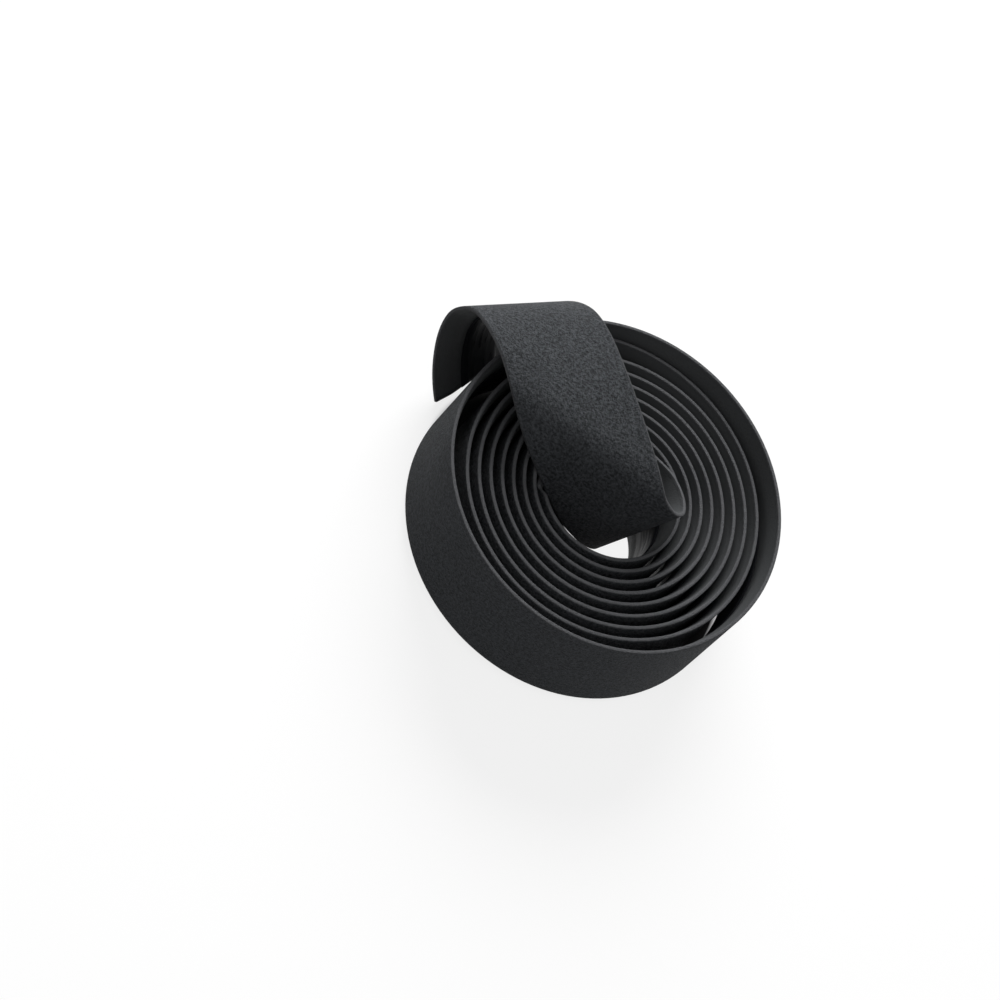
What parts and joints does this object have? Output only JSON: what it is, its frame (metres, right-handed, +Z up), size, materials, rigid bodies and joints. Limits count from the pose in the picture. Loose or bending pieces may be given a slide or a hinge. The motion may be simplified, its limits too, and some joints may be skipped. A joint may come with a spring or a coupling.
{
  "type": "handlebar tape roll",
  "caption": "Roll of padded black foam handlebar tape lying on its side, its inner end pulled up out of the middle, laid over the rim and hanging down outside.",
  "frame": {"origin": "Centre of the outline at the level of the surface that the roll lies on, which its lower tape edges touch.", "axes": "+Z is up, along the axis that the tape is wound about, and the shortest extent. +X is the longest extent: the pulled-out end of the tape hangs down on the -X side."},
  "size_m": [0.1028, 0.0878, 0.0489],
  "materials": {
    "foam": "matte charcoal black closed-cell foam, finely grained on the outer side",
    "film": "thin glossy dark release film"
  },
  "bodies": {
    "root": {"grip_tape": "foam", "backing_film": "film"}
  },
  "joints": []
}
